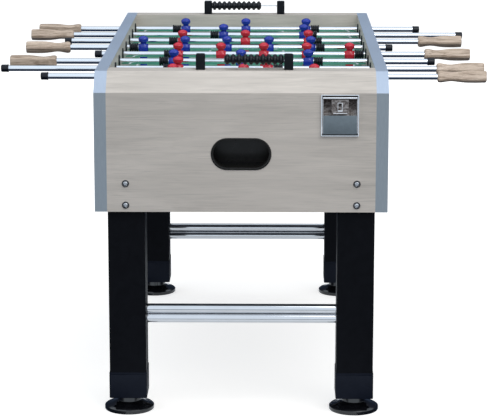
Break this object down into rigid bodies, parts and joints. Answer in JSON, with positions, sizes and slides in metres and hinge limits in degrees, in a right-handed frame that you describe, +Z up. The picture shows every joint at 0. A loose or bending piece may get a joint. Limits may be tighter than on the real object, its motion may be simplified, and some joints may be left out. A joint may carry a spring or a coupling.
{
  "type": "foosball table",
  "caption": "Foosball table with sliding, spinning rods of men, wooden handles, bead scorers, tip-out ashtrays, ball returns and levelling legs.",
  "frame": {"origin": "on the floor under the middle of the table", "axes": "+Z up, +Y along the table towards its rear end, +X along the rods"},
  "size_m": [1.321, 1.413, 0.955],
  "materials": {
    "board_laminate": "satin printed ash laminate on board",
    "field_green": "printed sheet with white lines",
    "edge_aluminium": "brushed foil edge band",
    "black_leg": "black laminate on board",
    "boot_plastic": "fine-grained moulding",
    "leveller_black": "gloss black",
    "bolt_steel": "zinc plated",
    "stretcher_chrome": "polished",
    "cup_plastic": "moulded",
    "bearing_plastic": "moulded",
    "scorer_plastic": "moulded",
    "bead_plastic": "moulded",
    "wire_steel": "drawn",
    "ashtray_chrome": "polished",
    "rod_chrome": "polished",
    "men_blue": "moulded",
    "men_red": "moulded",
    "handle_wood": "clear varnish",
    "rod_rubber": "moulded"
  },
  "bodies": {
    "cabinet": {"ashtray_brackets": "ashtray_chrome", "ball_return_cups": "cup_plastic", "end_deck_front": "board_laminate", "end_deck_rear": "board_laminate", "end_panel_front": "board_laminate", "end_panel_rear": "board_laminate", "goal_wall_front": "board_laminate", "goal_wall_rear": "board_laminate", "leg_bolts": "bolt_steel", "leg_boots": "boot_plastic", "legs": "black_leg", "playfield": "field_green", "playfield_supports": "board_laminate", "rod_bearings": "bearing_plastic", "scorer_posts": "scorer_plastic", "scorer_wires": "wire_steel", "side_edge_trims": "edge_aluminium", "side_panel_left": "board_laminate", "side_panel_right": "board_laminate", "stretcher_tubes": "stretcher_chrome"},
    "rod_1_rings": {"rod_1_rubbers": "rod_rubber"},
    "rod_1": {"rod_1_tube": "rod_chrome", "rod_1_men": "men_blue", "rod_1_handle": "handle_wood"},
    "rod_2_rings": {"rod_2_rubbers": "rod_rubber"},
    "rod_2": {"rod_2_tube": "rod_chrome", "rod_2_men": "men_blue", "rod_2_handle": "handle_wood"},
    "rod_3_rings": {"rod_3_rubbers": "rod_rubber"},
    "rod_3": {"rod_3_tube": "rod_chrome", "rod_3_men": "men_red", "rod_3_handle": "handle_wood"},
    "rod_4_rings": {"rod_4_rubbers": "rod_rubber"},
    "rod_4": {"rod_4_tube": "rod_chrome", "rod_4_men": "men_blue", "rod_4_handle": "handle_wood"},
    "rod_5_rings": {"rod_5_rubbers": "rod_rubber"},
    "rod_5": {"rod_5_tube": "rod_chrome", "rod_5_men": "men_red", "rod_5_handle": "handle_wood"},
    "rod_6_rings": {"rod_6_rubbers": "rod_rubber"},
    "rod_6": {"rod_6_tube": "rod_chrome", "rod_6_men": "men_blue", "rod_6_handle": "handle_wood"},
    "rod_7_rings": {"rod_7_rubbers": "rod_rubber"},
    "rod_7": {"rod_7_tube": "rod_chrome", "rod_7_men": "men_red", "rod_7_handle": "handle_wood"},
    "rod_8_rings": {"rod_8_rubbers": "rod_rubber"},
    "rod_8": {"rod_8_tube": "rod_chrome", "rod_8_men": "men_red", "rod_8_handle": "handle_wood"},
    "leveller_front_left": {"leveller_front_left": "leveller_black"},
    "leveller_front_right": {"leveller_front_right": "leveller_black"},
    "leveller_rear_left": {"leveller_rear_left": "leveller_black"},
    "leveller_rear_right": {"leveller_rear_right": "leveller_black"},
    "scorer_beads_front": {"scorer_beads_front": "bead_plastic"},
    "scorer_beads_rear": {"scorer_beads_rear": "bead_plastic"},
    "ashtray_tray_front": {"ashtray_tray_front": "ashtray_chrome"},
    "ashtray_tray_rear": {"ashtray_tray_rear": "ashtray_chrome"}
  },
  "joints": [
    {"name": "rod_1_slide", "type": "slide", "parent": "cabinet", "child": "rod_1_rings", "axis": [1, 0, 0], "range_m": [-0.114, 0.118]},
    {"name": "rod_1_spin", "type": "hinge", "parent": "rod_1_rings", "child": "rod_1", "pos_m": [0, 0.5005, 0.879], "axis": [1, 0, 0], "continuous": true},
    {"name": "rod_2_slide", "type": "slide", "parent": "cabinet", "child": "rod_2_rings", "axis": [1, 0, 0], "range_m": [-0.2355, 0.1275]},
    {"name": "rod_2_spin", "type": "hinge", "parent": "rod_2_rings", "child": "rod_2", "pos_m": [0, 0.3575, 0.879], "axis": [1, 0, 0], "continuous": true},
    {"name": "rod_3_slide", "type": "slide", "parent": "cabinet", "child": "rod_3_rings", "axis": [1, 0, 0], "range_m": [-0.116, 0.116]},
    {"name": "rod_3_spin", "type": "hinge", "parent": "rod_3_rings", "child": "rod_3", "pos_m": [0, 0.2145, 0.879], "axis": [1, 0, 0], "continuous": true},
    {"name": "rod_4_slide", "type": "slide", "parent": "cabinet", "child": "rod_4_rings", "axis": [1, 0, 0], "range_m": [-0.007, 0.111]},
    {"name": "rod_4_spin", "type": "hinge", "parent": "rod_4_rings", "child": "rod_4", "pos_m": [0, 0.0715, 0.879], "axis": [1, 0, 0], "continuous": true},
    {"name": "rod_5_slide", "type": "slide", "parent": "cabinet", "child": "rod_5_rings", "axis": [1, 0, 0], "range_m": [-0.115, 0.003]},
    {"name": "rod_5_spin", "type": "hinge", "parent": "rod_5_rings", "child": "rod_5", "pos_m": [0, -0.0715, 0.879], "axis": [1, 0, 0], "continuous": true},
    {"name": "rod_6_slide", "type": "slide", "parent": "cabinet", "child": "rod_6_rings", "axis": [1, 0, 0], "range_m": [-0.109, 0.123]},
    {"name": "rod_6_spin", "type": "hinge", "parent": "rod_6_rings", "child": "rod_6", "pos_m": [0, -0.2145, 0.879], "axis": [1, 0, 0], "continuous": true},
    {"name": "rod_7_slide", "type": "slide", "parent": "cabinet", "child": "rod_7_rings", "axis": [1, 0, 0], "range_m": [-0.1275, 0.2355]},
    {"name": "rod_7_spin", "type": "hinge", "parent": "rod_7_rings", "child": "rod_7", "pos_m": [0, -0.3575, 0.879], "axis": [1, 0, 0], "continuous": true},
    {"name": "rod_8_slide", "type": "slide", "parent": "cabinet", "child": "rod_8_rings", "axis": [1, 0, 0], "range_m": [-0.12, 0.112]},
    {"name": "rod_8_spin", "type": "hinge", "parent": "rod_8_rings", "child": "rod_8", "pos_m": [0, -0.5005, 0.879], "axis": [1, 0, 0], "continuous": true},
    {"name": "leveller_front_left_turn", "type": "hinge", "parent": "cabinet", "child": "leveller_front_left", "pos_m": [-0.3005, -0.634, 0], "axis": [0, 0, 1], "continuous": true},
    {"name": "leveller_front_right_turn", "type": "hinge", "parent": "cabinet", "child": "leveller_front_right", "pos_m": [0.3005, -0.634, 0], "axis": [0, 0, 1], "continuous": true},
    {"name": "leveller_rear_left_turn", "type": "hinge", "parent": "cabinet", "child": "leveller_rear_left", "pos_m": [-0.3005, 0.634, 0], "axis": [0, 0, 1], "continuous": true},
    {"name": "leveller_rear_right_turn", "type": "hinge", "parent": "cabinet", "child": "leveller_rear_right", "pos_m": [0.3005, 0.634, 0], "axis": [0, 0, 1], "continuous": true},
    {"name": "scorer_beads_front_slide", "type": "slide", "parent": "cabinet", "child": "scorer_beads_front", "axis": [1, 0, 0], "range_m": [-0.04955, 0]},
    {"name": "scorer_beads_rear_slide", "type": "slide", "parent": "cabinet", "child": "scorer_beads_rear", "axis": [1, 0, 0], "range_m": [0, 0.04955]},
    {"name": "ashtray_front_tip", "type": "hinge", "parent": "cabinet", "child": "ashtray_tray_front", "pos_m": [0.255, -0.7015, 0.761], "axis": [1, 0, 0], "range_deg": [0, 40]},
    {"name": "ashtray_rear_tip", "type": "hinge", "parent": "cabinet", "child": "ashtray_tray_rear", "pos_m": [-0.255, 0.7015, 0.761], "axis": [-1, 0, 0], "range_deg": [0, 40]}
  ]
}
